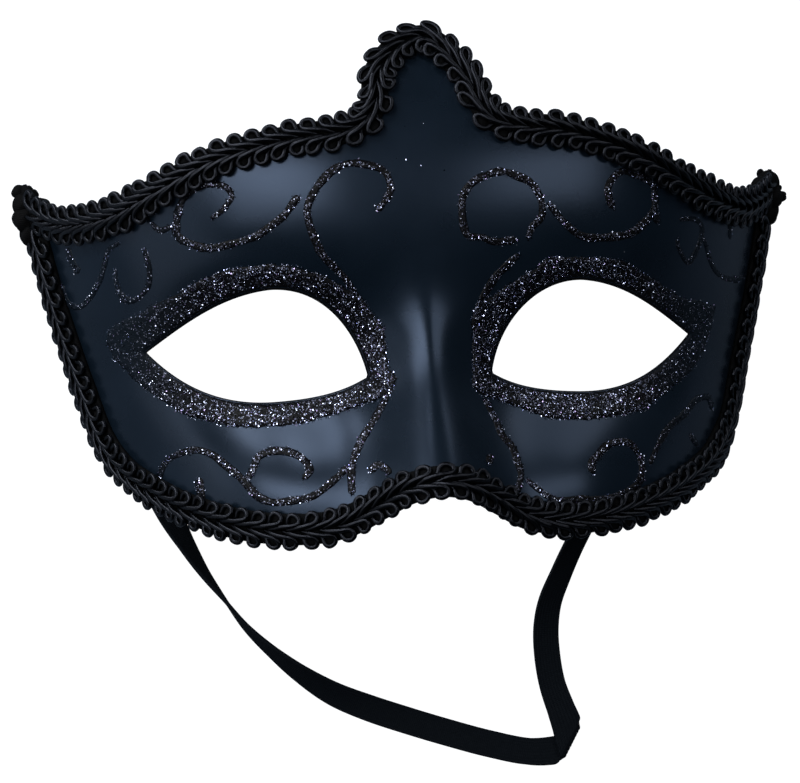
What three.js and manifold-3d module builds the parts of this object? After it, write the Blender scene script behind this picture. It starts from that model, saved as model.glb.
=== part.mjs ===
// A masquerade half mask lying face up on a flat surface: a moulded shell with a nose ridge and two eye holes,
// gimp braid round its rim in two lengths, and a flat elastic band that hangs loose below it.
// Millimetres. +X is the wearer's left, +Y runs up to the peak and +Z up out of the face.
// Inside this file x = 0 is the midline and y = 0 the line under the eye holes; the exported group then moves the
// origin under the middle of the mask.
import * as THREE from "three";
import { mergeVertices } from "three/addons/utils/BufferGeometryUtils.js";
import Module from "manifold-3d";

const wasm = await Module();
wasm.setup();

// Driving dimensions
const WALL = 1.2;
const GAP = 0.45; // between the braid's backing and the shell's curved face
const BRAID_WIDTH = 8.4;
const BRAID_BACKING = 0.8; // thickness in the grooves between two loops
const BRAID_LOOP_RISE = 1.3; // how far a loop stands over the grooves
const BRAID_PITCH = 3.9; // one loop to the next
const BRAID_SCALLOP = 0.6; // how far the edge draws in between two loops
const TIP_LUMP = 1.6; // how far the bound ends of the top braid stand over the rest of it
const BAND_WIDTH = 6;
const BAND_THICKNESS = 0.9;
const ORIGIN = [-0.8, 22.5]; // the middle of the mask's plan, from the midline at the line under the eye holes

// Face form
const RIM_Z = -0.6; // where the face would end at the temples, just under the ground that the braid rests on
const SHELL_LOW = 0.5; // the shell's own lowest edge
const LEAST_WALL = 0.2; // the wall left where the face runs down to that edge
const HALF_WIDTH = 72.7; // half the mask's width at the ground, at y = 0
const FLARE = 0.26; // and how much more there is of it per millimetre up
const CHEEK_Z = 42.5; // midline height below the brow
const BROW_RISE = 16;
const BROW_Y = 20;
const BROW_SOFTNESS = 7.5;
const PEAK_Y = 45; // above this the peak leans back
const PEAK_LEAN = 0.005;
const WRAP_POWER = 2.6;
const WRAP_REACH = 0.95; // the share of the wrap's full turn that the face uses
const WRAP_LIMIT = 1.045; // the share of the half width past which the drop stays the same
const SOCKET_DEPTH = 4.5;
const SOCKET = { x: 36.5, y: 9, halfWidth: 30, halfHeight: 15, turn: 0.2, power: 1.3 };
const CHEEK_BULGE = 4;
const CHEEK = { x: 33, y: -22, halfWidth: 22, halfHeight: 15 };
const NOSE_HEIGHT = 9.2;
const NOSE_START = 15.5; // where the ridge rises fastest, with this softness
const NOSE_SOFTNESS = 5;
const NOSE_CLIMB = 0.14; // the ridge's slope from NOSE_CLIMB_Y down, with a bend this long
const NOSE_CLIMB_Y = 5;
const NOSE_BEND = 3;
const NOSE_WIDTH = 11;
const NOSE_FLARE = 0.05; // how much wider the ridge is per millimetre below NOSE_FLARE_Y
const NOSE_FLARE_Y = 10;
const NOSE_LEAN = 0.04; // how far the ridge leans to the wearer's left per millimetre down
const NOSE_MIDDLE_Y = -10; // where it crosses the midline
const SWAY = 0.7; // the sides lean to the wearer's left, by this much at y = 0
const SWAY_SLOPE = 0.028; // and by this much less per millimetre up
const SWAY_FROM = [40, 65]; // nothing leans nearer the midline than the first, and all of it does past the second

const COLORS = { shell: 0x1c2430, braid: 0x0b0c0f, band: 0x101217 };

const logistic = (t) => 1 / (1 + Math.exp(-t));
const bell = (u, v = 0, power = 1) => Math.exp(-((u * u + v * v) ** power));

// Half the mask's width at the ground, by height on the face
const sideAt = (y) => HALF_WIDTH + FLARE * y;
const swayAt = (x, y) => (SWAY - SWAY_SLOPE * y) * THREE.MathUtils.smoothstep(Math.abs(x), ...SWAY_FROM);

// The midline's height: cheeks, then the brow, then a peak that leans back
function midlineAt(y) {
  const lean = PEAK_LEAN * Math.max(0, y - PEAK_Y) ** 2;
  return CHEEK_Z + BROW_RISE * logistic((y - BROW_Y) / BROW_SOFTNESS) - lean;
}

// The share of the drop to the ground at a share s of the half width
function wrapAt(s) {
  const drop = (t) => 1 - Math.sqrt(1 - (WRAP_REACH * t) ** WRAP_POWER);
  return drop(Math.min(s, WRAP_LIMIT)) / drop(1);
}

// The nose ridge rises out of the brow and climbs on, slowly, towards the lower edge
function noseAt(x, y) {
  const rise = NOSE_HEIGHT * logistic((NOSE_START - y) / NOSE_SOFTNESS);
  const climb = NOSE_CLIMB * NOSE_BEND * Math.log1p(Math.exp((NOSE_CLIMB_Y - y) / NOSE_BEND));
  const width = NOSE_WIDTH + NOSE_FLARE * Math.max(0, NOSE_FLARE_Y - y);
  return (rise + climb) * bell((x + NOSE_LEAN * (y - NOSE_MIDDLE_Y)) / width);
}

// Height of the outer face over the ground
function faceZ(x, y) {
  const a = Math.abs(x);
  const top = midlineAt(y);
  const u = (a - SOCKET.x + SOCKET.turn * (y - SOCKET.y)) / SOCKET.halfWidth;
  const v = (y - SOCKET.y - SOCKET.turn * (a - SOCKET.x)) / SOCKET.halfHeight;
  const socket = SOCKET_DEPTH * bell(u, v, SOCKET.power);
  const cheek = CHEEK_BULGE * bell((a - CHEEK.x) / CHEEK.halfWidth, (y - CHEEK.y) / CHEEK.halfHeight);
  const share = Math.abs(x - swayAt(x, y)) / sideAt(y);
  return top - (top - RIM_Z) * wrapAt(share) + noseAt(x, y) - socket + cheek;
}

function normalOf(heightAt, x, y) {
  const e = 0.05;
  const dx = (heightAt(x + e, y) - heightAt(x - e, y)) / (2 * e);
  const dy = (heightAt(x, y + e) - heightAt(x, y - e)) / (2 * e);
  return new THREE.Vector3(-dx, -dy, 1).normalize();
}

// A box of n by m cells, with each corner (u, v, w) moved to place(u, v, w); u and v run 0 to 1, w is 0 or 1
function bentBox(n, m, place) {
  const g = new THREE.BoxGeometry(1, 1, 1, n, m, 1);
  g.deleteAttribute("normal");
  g.deleteAttribute("uv");
  const p = g.attributes.position;
  for (let i = 0; i < p.count; i++) {
    const q = place(p.getX(i) + 0.5, p.getY(i) + 0.5, p.getZ(i) + 0.5);
    p.setXYZ(i, q.x, q.y, q.z);
  }
  return mergeVertices(g, 1e-4);
}

const solid = (g) => {
  const merged = mergeVertices(g, 1e-4);
  return new wasm.Manifold(
    new wasm.Mesh({
      numProp: 3,
      vertProperties: new Float32Array(merged.attributes.position.array),
      triVerts: new Uint32Array(merged.index.array),
    }),
  );
};

function geometryOf(manifold) {
  const m = manifold.getMesh();
  return new THREE.BufferGeometry()
    .setAttribute("position", new THREE.BufferAttribute(new Float32Array(m.vertProperties), 3))
    .setIndex(new THREE.BufferAttribute(new Uint32Array(m.triVerts), 1));
}

// Plan outlines, right half (x > 0). Each row is one Bezier curve: two handles and the end point.
const PEAK_TOP = [0, 75.8];
const RIM = [
  [3.2, 74.0, 11.6, 68.2, 12.3, 61.0], // flank of the peak
  [12.5, 57.6, 13.8, 55.9, 17.0, 55.5], // hollow where the peak meets the brow
  [29.0, 54.6, 43.0, 51.4, 56.2, 46.3], // brow
  [66.0, 41.4, 73.0, 40.6, 82.8, 48.8], // dip, then up to the wing tip
  [83.8, 49.8, 83.6, 48.2, 83.1, 46.9], // wing tip
  [79.5, 32.5, 73.9, 12.5, 69.6, -5.0], // temple
  [67.6, -12.2, 61.8, -17.8, 52.0, -24.4], // corner of the cheek
  [45.0, -28.4, 37.0, -30.6, 29.0, -30.6], // under the cheek
  [19.0, -30.6, 15.0, -28.4, 11.0, -26.2], // beside the nose
  [7.0, -24.0, 3.5, -23.2, 0, -23.2], // arch over the nose
];
const EYE_START = [59.4, 12.8];
const EYE = [
  [52.0, 17.0, 44.0, 22.0, 33.5, 22.3],
  [24.0, 22.2, 16.0, 15.5, 13.5, 4.2],
  [13.3, 3.0, 13.6, 3.2, 14.4, 2.8],
  [19.5, 0.4, 25.5, -0.5, 33.0, -0.5],
  [45.0, -0.5, 53.0, 5.5, 59.4, 12.8],
];

const mirror = ([x, y]) => [-x, y];
const swayed = ([x, y]) => [x + swayAt(x, y), y];

// The rim runs down the right half, then back up the mirrored left half
function rimShape() {
  const shape = new THREE.Shape();
  const curveTo = (...points) => shape.bezierCurveTo(...points.flatMap(swayed));
  shape.moveTo(...PEAK_TOP);
  RIM.forEach((c) => curveTo(c.slice(0, 2), c.slice(2, 4), c.slice(4)));
  const ends = [PEAK_TOP, ...RIM.map((c) => c.slice(4))];
  for (let i = RIM.length - 1; i >= 0; i--) {
    curveTo(mirror(RIM[i].slice(2, 4)), mirror(RIM[i].slice(0, 2)), mirror(ends[i]));
  }
  return shape;
}

function eyeShape(side) {
  const shape = new THREE.Shape();
  shape.moveTo(side * EYE_START[0], EYE_START[1]);
  EYE.forEach((c) => shape.bezierCurveTo(side * c[0], c[1], side * c[2], c[3], side * c[4], c[5]));
  return shape;
}

// A straight-sided cutter through the whole height of the mask
function cutter(shape) {
  const UNDER = 20;
  const HEIGHT = 100;
  const g = new THREE.ExtrudeGeometry(shape, { depth: HEIGHT, bevelEnabled: false, curveSegments: 6 });
  g.deleteAttribute("normal");
  g.deleteAttribute("uv");
  return solid(g.translate(0, 0, -UNDER));
}

function shellGeometry() {
  const LOW = -36;
  const HIGH = 80;
  const SPREAD = 1.035; // past the ground line, still inside the wrap's full turn
  const CELLS_ACROSS = 38;
  const CELLS_UP = 24;
  const CROWDING = 1.2; // over 1, cells crowd together at the steep temples
  const slab = bentBox(CELLS_ACROSS, CELLS_UP, (u, v, w) => {
    const t = 2 * u - 1;
    const share = Math.sign(t) * (1 - (1 - Math.abs(t)) ** CROWDING);
    const y = LOW + v * (HIGH - LOW);
    const [x] = swayed([SPREAD * share * sideAt(y), y]);
    const outer = new THREE.Vector3(x, y, faceZ(x, y));
    if (w) return outer.setZ(Math.max(outer.z, SHELL_LOW + LEAST_WALL));
    // the inner face is a wall's thickness away, measured square to the outer one
    return outer.setZ(Math.max(outer.z - WALL / normalOf(faceZ, x, y).z, SHELL_LOW));
  });
  let shell = solid(slab).intersect(cutter(rimShape()));
  [-1, 1].forEach((side) => {
    shell = shell.subtract(cutter(eyeShape(side)));
  });
  return geometryOf(shell);
}

// Centre lines of the braid in plan. The top length is laid by hand, so its two halves differ a little.
const TOP_BRAID = [
  [-83.8, 51.0], [-80.8, 46.4], [-76.0, 42.2], [-70.2, 40.6], [-63.4, 41.3], [-55.6, 44.5], [-45.4, 48.8],
  [-34.0, 51.4], [-25.0, 52.6], [-17.8, 53.2], [-13.0, 55.4], [-10.4, 59.4], [-9.7, 64.8], [-7.6, 68.6],
  [-4.0, 72.0], [0.6, 73.4], [4.5, 70.7], [7.4, 67.0], [10.0, 63.0], [11.5, 59.2], [14.6, 55.2], [20.6, 53.4],
  [29.0, 52.6], [40.0, 50.0], [50.0, 46.4], [58.6, 42.8], [66.0, 40.6], [73.0, 40.6], [79.0, 43.9], [84.1, 49.3],
];
const LOWER_BRAID_HALF = [
  [81.8, 41.8], [79.5, 30.6], [76.8, 19.6], [73.7, 8.0], [69.9, -4.8], [65.5, -11.8], [59.4, -17.2],
  [51.2, -22.4], [40.4, -26.8], [29.0, -28.7], [19.6, -27.9], [11.6, -24.5], [6.0, -22.1], [0, -21.2],
];
const LOWER_BRAID = [...LOWER_BRAID_HALF.map(mirror), ...LOWER_BRAID_HALF.toReversed().slice(1)];

// Past the wing tip the braid is stiff and stands out level instead of following the face to the ground
const TIP_Z = 2.4;
const TIP_SOFTNESS = 1.6;
const stiffZ = (x, y) => TIP_Z + TIP_SOFTNESS * Math.log(1 + Math.exp((faceZ(x, y) - TIP_Z) / TIP_SOFTNESS));

// Gimp braid: a flat strip that follows the face, with two rows of loops slanting to its middle
function braidGeometry(planPoints, heightAt, tipRise) {
  const STEPS_PER_LOOP = 2;
  const STRIPS = 4;
  const SLANT = 0.5; // how far the loops' edges lag behind their middle, as a share of a loop
  const EDGE_SHARE = 0.55; // how much of its rise a loop keeps at the braid's edge
  const TIP_REACH = 9; // the length over which the ends thicken to a bound lump
  const TIP_WIDENING = 0.5; // as a share of the lump's rise
  const TIP_CROWN = 0.6; // how much of the lump's rise is gone at the braid's edge
  const plan = new THREE.SplineCurve(planPoints.map((p) => new THREE.Vector2(...swayed(p))));
  const onFace = plan.getPoints(200).map((p) => new THREE.Vector3(p.x, p.y, heightAt(p.x, p.y)));
  const route = new THREE.CurvePath();
  onFace.slice(1).forEach((p, i) => route.add(new THREE.LineCurve3(onFace[i], p)));
  const length = route.getLength();
  const at = (u) => route.getPointAt(THREE.MathUtils.clamp(u, 0, 1));
  const steps = Math.round(length / BRAID_PITCH) * STEPS_PER_LOOP;
  return bentBox(steps, STRIPS, (u, v, w) => {
    const across = 2 * v - 1;
    const groove = Math.round(u * steps) % STEPS_PER_LOOP === 0;
    const centre = at(u);
    const ahead = at(u + 1e-3).sub(at(u - 1e-3)).normalize();
    const out = normalOf(heightAt, centre.x, centre.y).cross(ahead).normalize();
    const toEnd = Math.min(u, 1 - u) * length;
    const tip = tipRise * (1 - THREE.MathUtils.smoothstep(toEnd, 0, TIP_REACH));
    const half = BRAID_WIDTH / 2 - (groove ? BRAID_SCALLOP : 0) + TIP_WIDENING * tip;
    const p = centre.addScaledVector(out, across * half);
    const slant = u > 0 && u < 1 ? SLANT * BRAID_PITCH * Math.abs(across) : 0;
    p.addScaledVector(ahead, -slant);
    p.z = heightAt(p.x, p.y);
    const lump = tip * (1 - TIP_CROWN * across ** 2);
    const edge = Math.abs(across) === 1 ? EDGE_SHARE : 1;
    const rise = w ? BRAID_BACKING + (groove ? 0 : BRAID_LOOP_RISE) * edge + lump : 0;
    p.addScaledVector(normalOf(heightAt, p.x, p.y), GAP + rise);
    p.z = Math.max(p.z, 0);
    return p;
  });
}

// The band's centre line from the left temple to the right one. Each row is x, y, z, then the way that the
// band's width points: its compass angle from +X, and its tilt, in degrees.
const BAND_ROUTE = [
  [-66.2, 14.0, 12.2, 186, -54],
  [-65.4, 8.0, 10.9, 190, -53],
  [-63.6, 2.0, 8.9, 196, -45],
  [-61.2, -5.2, 6.0, 201, -30],
  [-58.4, -13.0, 3.3, 205, -8],
  [-55.2, -20.4, 2.0, 208, 22],
  [-51.8, -27.2, 2.6, 211, 50],
  [-48.1, -33.8, 2.9, 213, 68],
  [-43.7, -40.2, 3.1, 216, 84],
  [-39.2, -46.4, 3.0, 219, 95],
  [-33.7, -52.0, 3.0, 225, 106],
  [-27.5, -57.2, 2.8, 233, 123],
  [-20.6, -61.7, 2.0, 241, 145],
  [-13.0, -65.1, 1.3, 247, 164],
  [-4.6, -68.2, 0.6, 250, 177],
  [4.4, -71.3, 0.5, 252, 180],
  [13.6, -74.2, 0.5, 255, 180],
  [22.4, -76.3, 0.5, 256, 180],
  [28.4, -76.7, 0.5, 247, 180],
  [31.2, -75.8, 0.6, 238, 180],
  [32.3, -75.2, 1.1, 238, 180],
  [31.5, -73.6, 1.8, 236, 180],
  [30.2, -67.8, 1.3, 199, 180],
  [28.5, -61.6, 0.8, 194, 182],
  [27.7, -55.2, 0.8, 187, 186],
  [27.7, -49.0, 1.2, 178, 194],
  [28.8, -43.4, 1.8, 168, 205],
  [31.5, -37.4, 2.2, 160, 215],
  [34.8, -31.0, 2.4, 154, 221],
  [40.0, -22.2, 2.6, 148, 223],
  [46.2, -12.8, 3.5, 145, 225],
  [52.8, -3.6, 5.6, 143, 228],
  [58.8, 4.6, 8.2, 145, 230],
  [63.0, 11.0, 10.9, 152, 233],
  [65.4, 17.2, 13.0, 166, 234],
];

function bandGeometry() {
  const STEPS_PER_POINT = 2;
  const spans = BAND_ROUTE.length - 1;
  const centre = new THREE.CatmullRomCurve3(
    BAND_ROUTE.map(([x, y, z]) => new THREE.Vector3(x, y, z)),
  );
  const between = (u, column) => {
    const i = Math.min(Math.floor(u * spans), spans - 1);
    return THREE.MathUtils.lerp(BAND_ROUTE[i][column], BAND_ROUTE[i + 1][column], u * spans - i);
  };
  return bentBox(spans * STEPS_PER_POINT, 1, (u, v, w) => {
    const ahead = centre.getTangent(u);
    const turn = THREE.MathUtils.degToRad(between(u, 3));
    const tilt = THREE.MathUtils.degToRad(between(u, 4));
    const width = new THREE.Vector3(
      Math.cos(turn) * Math.cos(tilt),
      Math.sin(turn) * Math.cos(tilt),
      Math.sin(tilt),
    );
    const face = ahead.clone().cross(width);
    const half = BAND_WIDTH / 2 / face.length(); // longer where the width is skewed, at the fold
    const p = centre.getPoint(u).addScaledVector(width, (2 * v - 1) * half);
    p.addScaledVector(face.normalize(), (w - 0.5) * BAND_THICKNESS);
    p.z = Math.max(p.z, 0);
    return p;
  });
}

function piece(name, geometry, color, roughness) {
  const mesh = new THREE.Mesh(
    geometry,
    new THREE.MeshStandardMaterial({ color, roughness, metalness: 0 }),
  );
  mesh.name = name;
  return mesh;
}

const mask = new THREE.Group();
mask.add(
  piece("mask_shell", shellGeometry(), COLORS.shell, 0.45),
  piece("top_braid", braidGeometry(TOP_BRAID, stiffZ, TIP_LUMP), COLORS.braid, 0.6),
  piece("lower_braid", braidGeometry(LOWER_BRAID, faceZ, 0), COLORS.braid, 0.6),
  piece("elastic_band", bandGeometry(), COLORS.band, 0.85),
);
mask.position.set(-ORIGIN[0], -ORIGIN[1], 0);

const part = new THREE.Group();
part.add(mask);
export default part;
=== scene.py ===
"""Masquerade mask lying face up on a pale floor: moulded shell, gimp braid round its rim, glue scrolls with
glitter, and an elastic band. Shapes are worked out in millimetres on the face and placed in metres."""

import bpy
import numpy as np
from mathutils import Matrix, Vector
from mathutils.geometry import delaunay_2d_cdt


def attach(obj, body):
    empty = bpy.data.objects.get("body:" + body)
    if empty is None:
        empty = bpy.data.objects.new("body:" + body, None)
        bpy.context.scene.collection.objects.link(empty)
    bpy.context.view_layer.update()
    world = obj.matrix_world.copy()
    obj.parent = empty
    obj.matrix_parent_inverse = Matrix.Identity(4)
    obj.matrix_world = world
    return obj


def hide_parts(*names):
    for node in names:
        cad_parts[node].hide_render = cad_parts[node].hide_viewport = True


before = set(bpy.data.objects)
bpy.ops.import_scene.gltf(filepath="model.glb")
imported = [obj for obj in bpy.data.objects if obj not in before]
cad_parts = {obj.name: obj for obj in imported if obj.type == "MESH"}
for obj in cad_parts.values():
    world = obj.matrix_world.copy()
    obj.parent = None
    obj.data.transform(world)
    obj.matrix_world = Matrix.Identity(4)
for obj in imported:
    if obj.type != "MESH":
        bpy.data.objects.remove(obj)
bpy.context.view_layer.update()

MM = 0.001
TINY = 1e-12
ORIGIN = np.array([-0.8, 22.5, 0.0])  # the point of the face that lies at the frame's own origin

# The face is a height over its plan: x to the wearer's left, y up the face, z off the table.
RIM_Z = -0.6
SHELL_LOW = 0.5
WALL, LEAST_WALL = 1.2, 0.2
HALF_WIDTH, SIDE_FLARE = 72.7, 0.26
SWAY, SWAY_FALL, SWAY_FROM, SWAY_TO = 0.7, 0.028, 40.0, 65.0
CHEEK_Z = 42.5
BROW_RISE = 16.0
BROW_Y = 20.0
BROW_SOFTNESS = 7.5
PEAK_FALL, PEAK_FALL_Y = 0.005, 45.0
WRAP_POWER = 2.6
WRAP_REACH = 0.95
WRAP_LIMIT = 1.045
SOCKET_DEPTH, SOCKET_POWER = 4.5, 1.3
SOCKET_X, SOCKET_Y, SOCKET_SLANT = 36.5, 9.0, 0.2
SOCKET_LENGTH, SOCKET_HEIGHT = 30.0, 15.0
CHEEK_BULGE = 4.0
CHEEK_X, CHEEK_Y, CHEEK_LENGTH, CHEEK_HEIGHT = 33.0, -22.0, 22.0, 15.0
NOSE_HEIGHT = 9.2
NOSE_START = 15.5
NOSE_SOFTNESS = 5.0
NOSE_CLIMB = 0.14
NOSE_CLIMB_Y = 5.0
NOSE_BEND = 3.0
NOSE_WIDTH = 11.0
NOSE_FLARE = 0.05
NOSE_FLARE_Y = 10.0
NOSE_LEAN = 0.04
NOSE_MIDDLE_Y = -10.0
TIP_Z = 2.4
TIP_SOFTNESS = 1.6


def logistic(t):
    return 1.0 / (1.0 + np.exp(-t))


def smooth(t, low, high):
    t = np.clip((t - low) / (high - low), 0.0, 1.0)
    return t * t * (3.0 - 2.0 * t)


def side_at(y):
    """Half the face's width where its side meets the ground."""
    return HALF_WIDTH + SIDE_FLARE * y


def sway_at(x, y):
    """How far the moulding leans to the wearer's left at its two sides."""
    return (SWAY - SWAY_FALL * y) * smooth(np.abs(x), SWAY_FROM, SWAY_TO)


def midline_at(y):
    """The face's height down its middle, without the nose."""
    rise = BROW_RISE * logistic((y - BROW_Y) / BROW_SOFTNESS)
    return CHEEK_Z + rise - PEAK_FALL * np.maximum(0.0, y - PEAK_FALL_Y) ** 2


def wrap_at(share):
    """How far the face has dropped, from 0 to 1, at a share of the way to its side."""

    def drop(t):
        return 1.0 - np.sqrt(np.maximum(1.0 - (WRAP_REACH * t) ** WRAP_POWER, 0.0))

    return drop(np.minimum(share, WRAP_LIMIT)) / drop(1.0)


def nose_at(x, y):
    """The ridge rises out of the brow and climbs on, slowly, towards the lower edge."""
    rise = NOSE_HEIGHT * logistic((NOSE_START - y) / NOSE_SOFTNESS)
    climb = NOSE_CLIMB * NOSE_BEND * np.logaddexp(0.0, (NOSE_CLIMB_Y - y) / NOSE_BEND)
    width = NOSE_WIDTH + NOSE_FLARE * np.maximum(0.0, NOSE_FLARE_Y - y)
    return (rise + climb) * np.exp(-(((x + NOSE_LEAN * (y - NOSE_MIDDLE_Y)) / width) ** 2))


def face_z(x, y):
    """The height of the face over its plan: brow and cheeks wrapped to the sides, nose, sockets."""
    a = np.abs(x)
    top = midline_at(y)
    u = (a - SOCKET_X + SOCKET_SLANT * (y - SOCKET_Y)) / SOCKET_LENGTH
    v = (y - SOCKET_Y - SOCKET_SLANT * (a - SOCKET_X)) / SOCKET_HEIGHT
    socket = SOCKET_DEPTH * np.exp(-((u * u + v * v) ** SOCKET_POWER))
    u, v = (a - CHEEK_X) / CHEEK_LENGTH, (y - CHEEK_Y) / CHEEK_HEIGHT
    cheek = CHEEK_BULGE * np.exp(-(u ** 2 + v ** 2))
    wrap = wrap_at(np.abs(x - sway_at(x, y)) / side_at(y))
    return top - (top - RIM_Z) * wrap + nose_at(x, y) - socket + cheek


def stiff_z(x, y):
    """The height that a stiff trim keeps where the face under it falls away."""
    return TIP_Z + TIP_SOFTNESS * np.logaddexp(0.0, (face_z(x, y) - TIP_Z) / TIP_SOFTNESS)


def unit(v):
    return v / np.maximum(np.linalg.norm(v, axis=-1, keepdims=True), TINY)


def normal_of(height_at, x, y):
    """The direction off the surface, from the slopes over a twentieth of a millimetre."""
    step = 0.05
    slope_x = (height_at(x + step, y) - height_at(x - step, y)) / (2.0 * step)
    slope_y = (height_at(x, y + step) - height_at(x, y - step)) / (2.0 * step)
    return unit(np.stack([-slope_x, -slope_y, np.ones_like(slope_x)], -1))


def on_height(height_at, plan, rise=0.0):
    """Points over a plan, a given way off the surface along its normal."""
    x, y = plan[..., 0], plan[..., 1]
    at = np.stack([x, y, height_at(x, y)], -1)
    return at + normal_of(height_at, x, y) * np.asarray(rise)[..., None]


# Outlines in plan: of each cubic piece, its two handles and its end.
PEAK_TOP = (0.0, 75.8)
RIM = [
    (3.2, 74.0, 11.6, 68.2, 12.3, 61.0), (12.5, 57.6, 13.8, 55.9, 17.0, 55.5),
    (29.0, 54.6, 43.0, 51.4, 56.2, 46.3), (66.0, 41.4, 73.0, 40.6, 82.8, 48.8),
    (83.8, 49.8, 83.6, 48.2, 83.1, 46.9), (79.5, 32.5, 73.9, 12.5, 69.6, -5.0),
    (67.6, -12.2, 61.8, -17.8, 52.0, -24.4), (45.0, -28.4, 37.0, -30.6, 29.0, -30.6),
    (19.0, -30.6, 15.0, -28.4, 11.0, -26.2), (7.0, -24.0, 3.5, -23.2, 0.0, -23.2),
]
EYE_START = (59.4, 12.8)
EYE = [
    (52.0, 17.0, 44.0, 22.0, 33.5, 22.3), (24.0, 22.2, 16.0, 15.5, 13.5, 4.2),
    (13.3, 3.0, 13.6, 3.2, 14.4, 2.8), (19.5, 0.4, 25.5, -0.5, 33.0, -0.5),
    (45.0, -0.5, 53.0, 5.5, 59.4, 12.8),
]


def bezier_line(start, pieces, steps=24):
    t = np.linspace(0.0, 1.0, steps, endpoint=False)[:, None]
    at, out = np.array(start), []
    for a, b, c in pieces:
        out.append((1 - t) ** 3 * at + 3 * t * (1 - t) ** 2 * a + 3 * t * t * (1 - t) * b + t ** 3 * c)
        at = c
    return np.concatenate([*out, at[None]])


def swayed(plan):
    """A plan drawn without the lean of the moulding, with it."""
    plan = np.array(plan, float)
    plan[..., 0] += sway_at(plan[..., 0], plan[..., 1])
    return plan


def arc_of(points):
    return np.concatenate([[0.0], np.cumsum(np.linalg.norm(np.diff(points, axis=0), axis=1))])


def spaced(points, step, loop=False):
    """The same line with its points an even step apart."""
    if loop:
        points = np.concatenate([points, points[:1]])
    arc = arc_of(points)
    count = max(2, int(round(arc[-1] / step)))
    at = np.linspace(0.0, arc[-1], count + 1)
    if loop:
        at = at[:-1]
    return np.stack([np.interp(at, arc, points[:, k]) for k in range(points.shape[1])], -1)


def rim_outline():
    """The rim from the peak down one side and, mirrored, up the other."""
    pieces = np.reshape(RIM, (-1, 3, 2))
    right, left = (bezier_line(PEAK_TOP, swayed(pieces * (side, 1))) for side in (1, -1))
    return np.concatenate([right[:-1], left[:0:-1]])


def eye_outline(side):
    line = bezier_line(EYE_START, np.reshape(EYE, (-1, 3, 2)))[:-1] * (side, 1)
    return line if side > 0 else line[::-1]


def area_of(loop):
    x, y = loop[:, 0], loop[:, 1]
    return 0.5 * np.sum(x * np.roll(y, -1) - np.roll(x, -1) * y)


def anticlockwise(loop):
    return loop if area_of(loop) > 0 else loop[::-1]


def widened(loop, by):
    """The closed outline moved out by a distance, or in where it is negative."""
    along = unit(np.roll(loop, -1, 0) - np.roll(loop, 1, 0))
    out = np.stack([along[:, 1], -along[:, 0]], -1) * np.sign(area_of(loop))
    return loop + out * by


def inside(points, loop):
    """Even-odd test of many points against one closed outline."""
    x, y = points[:, 0][:, None], points[:, 1][:, None]
    a, b = loop, np.roll(loop, -1, 0)
    rise = np.where(b[:, 1] == a[:, 1], TINY, b[:, 1] - a[:, 1])
    crosses = (a[:, 1] > y) != (b[:, 1] > y)
    return (crosses & (x < (b[:, 0] - a[:, 0]) * (y - a[:, 1]) / rise + a[:, 0])).sum(1) % 2 == 1


def between(points, outer, *holes):
    """Which points lie inside one outline and in none of its holes."""
    found = inside(points, outer)
    for hole in holes:
        found &= ~inside(points, hole)
    return found


def distance_to(points, *loops):
    """The distance of many points to the nearest of some closed outlines."""
    nearest = np.full(len(points), np.inf)
    for a in loops:
        ab = np.roll(a, -1, 0) - a
        t = ((points[:, None] - a) * ab).sum(-1) / np.maximum((ab ** 2).sum(-1), TINY)
        gap = points[:, None] - (a + np.clip(t, 0.0, 1.0)[..., None] * ab)
        nearest = np.minimum(nearest, np.linalg.norm(gap, axis=-1).min(1))
    return nearest


MERGE = 1e-6  # points this close become one when an area is filled with triangles
END_TAPER = (0.55, 0.88, 1.0)  # the size of a cord's rings from each end inwards


def into_scene(name, data):
    made = bpy.data.objects.new(name, data)
    bpy.context.scene.collection.objects.link(made)
    return made


def build(name, points, faces, material, corner_uv=None, face_material=None, smooth_faces=True):
    """One object from points in face millimetres; corner_uv has a pair for each corner of each face."""
    mesh = bpy.data.meshes.new(name)
    placed = ((np.asarray(points) - ORIGIN) * MM).tolist()
    mesh.from_pydata(placed, [], [list(map(int, face)) for face in faces])
    for item in material if isinstance(material, (list, tuple)) else [material]:
        mesh.materials.append(item)
    if face_material is not None:
        mesh.polygons.foreach_set("material_index", np.asarray(face_material, np.int32))
    mesh.polygons.foreach_set("use_smooth", np.full(len(mesh.polygons), smooth_faces))
    if corner_uv is not None:
        pairs = np.asarray(corner_uv, np.float32).ravel()
        mesh.uv_layers.new(name="UVMap").data.foreach_set("uv", pairs)
    mesh.update()
    return into_scene(name, mesh)


def place(piece, node=None):
    """Tells the frame what a piece rides, and hides the solid from model.glb that it stands for."""
    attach(piece, "root")
    if node:
        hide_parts(node)


def grid_faces(rows, columns):
    """Quads of a grid of points that closes round its columns."""
    i, j = np.meshgrid(np.arange(rows - 1), np.arange(columns), indexing="ij")
    k = (j + 1) % columns
    low, high = i * columns, (i + 1) * columns
    return np.stack([low + j, low + k, high + k, high + j], -1).reshape(-1, 4)


def grid_corner_uv(lengthways, columns):
    """(turn, length) of each corner of the quads that grid_faces gives."""
    i, j = np.meshgrid(np.arange(len(lengthways) - 1), np.arange(columns), indexing="ij")
    turn = np.stack([j, j + 1, j + 1, j], -1) / columns
    along = np.stack([lengthways[i], lengthways[i], lengthways[i + 1], lengthways[i + 1]], -1)
    return np.stack([turn, along], -1).reshape(-1, 4, 2)


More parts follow.
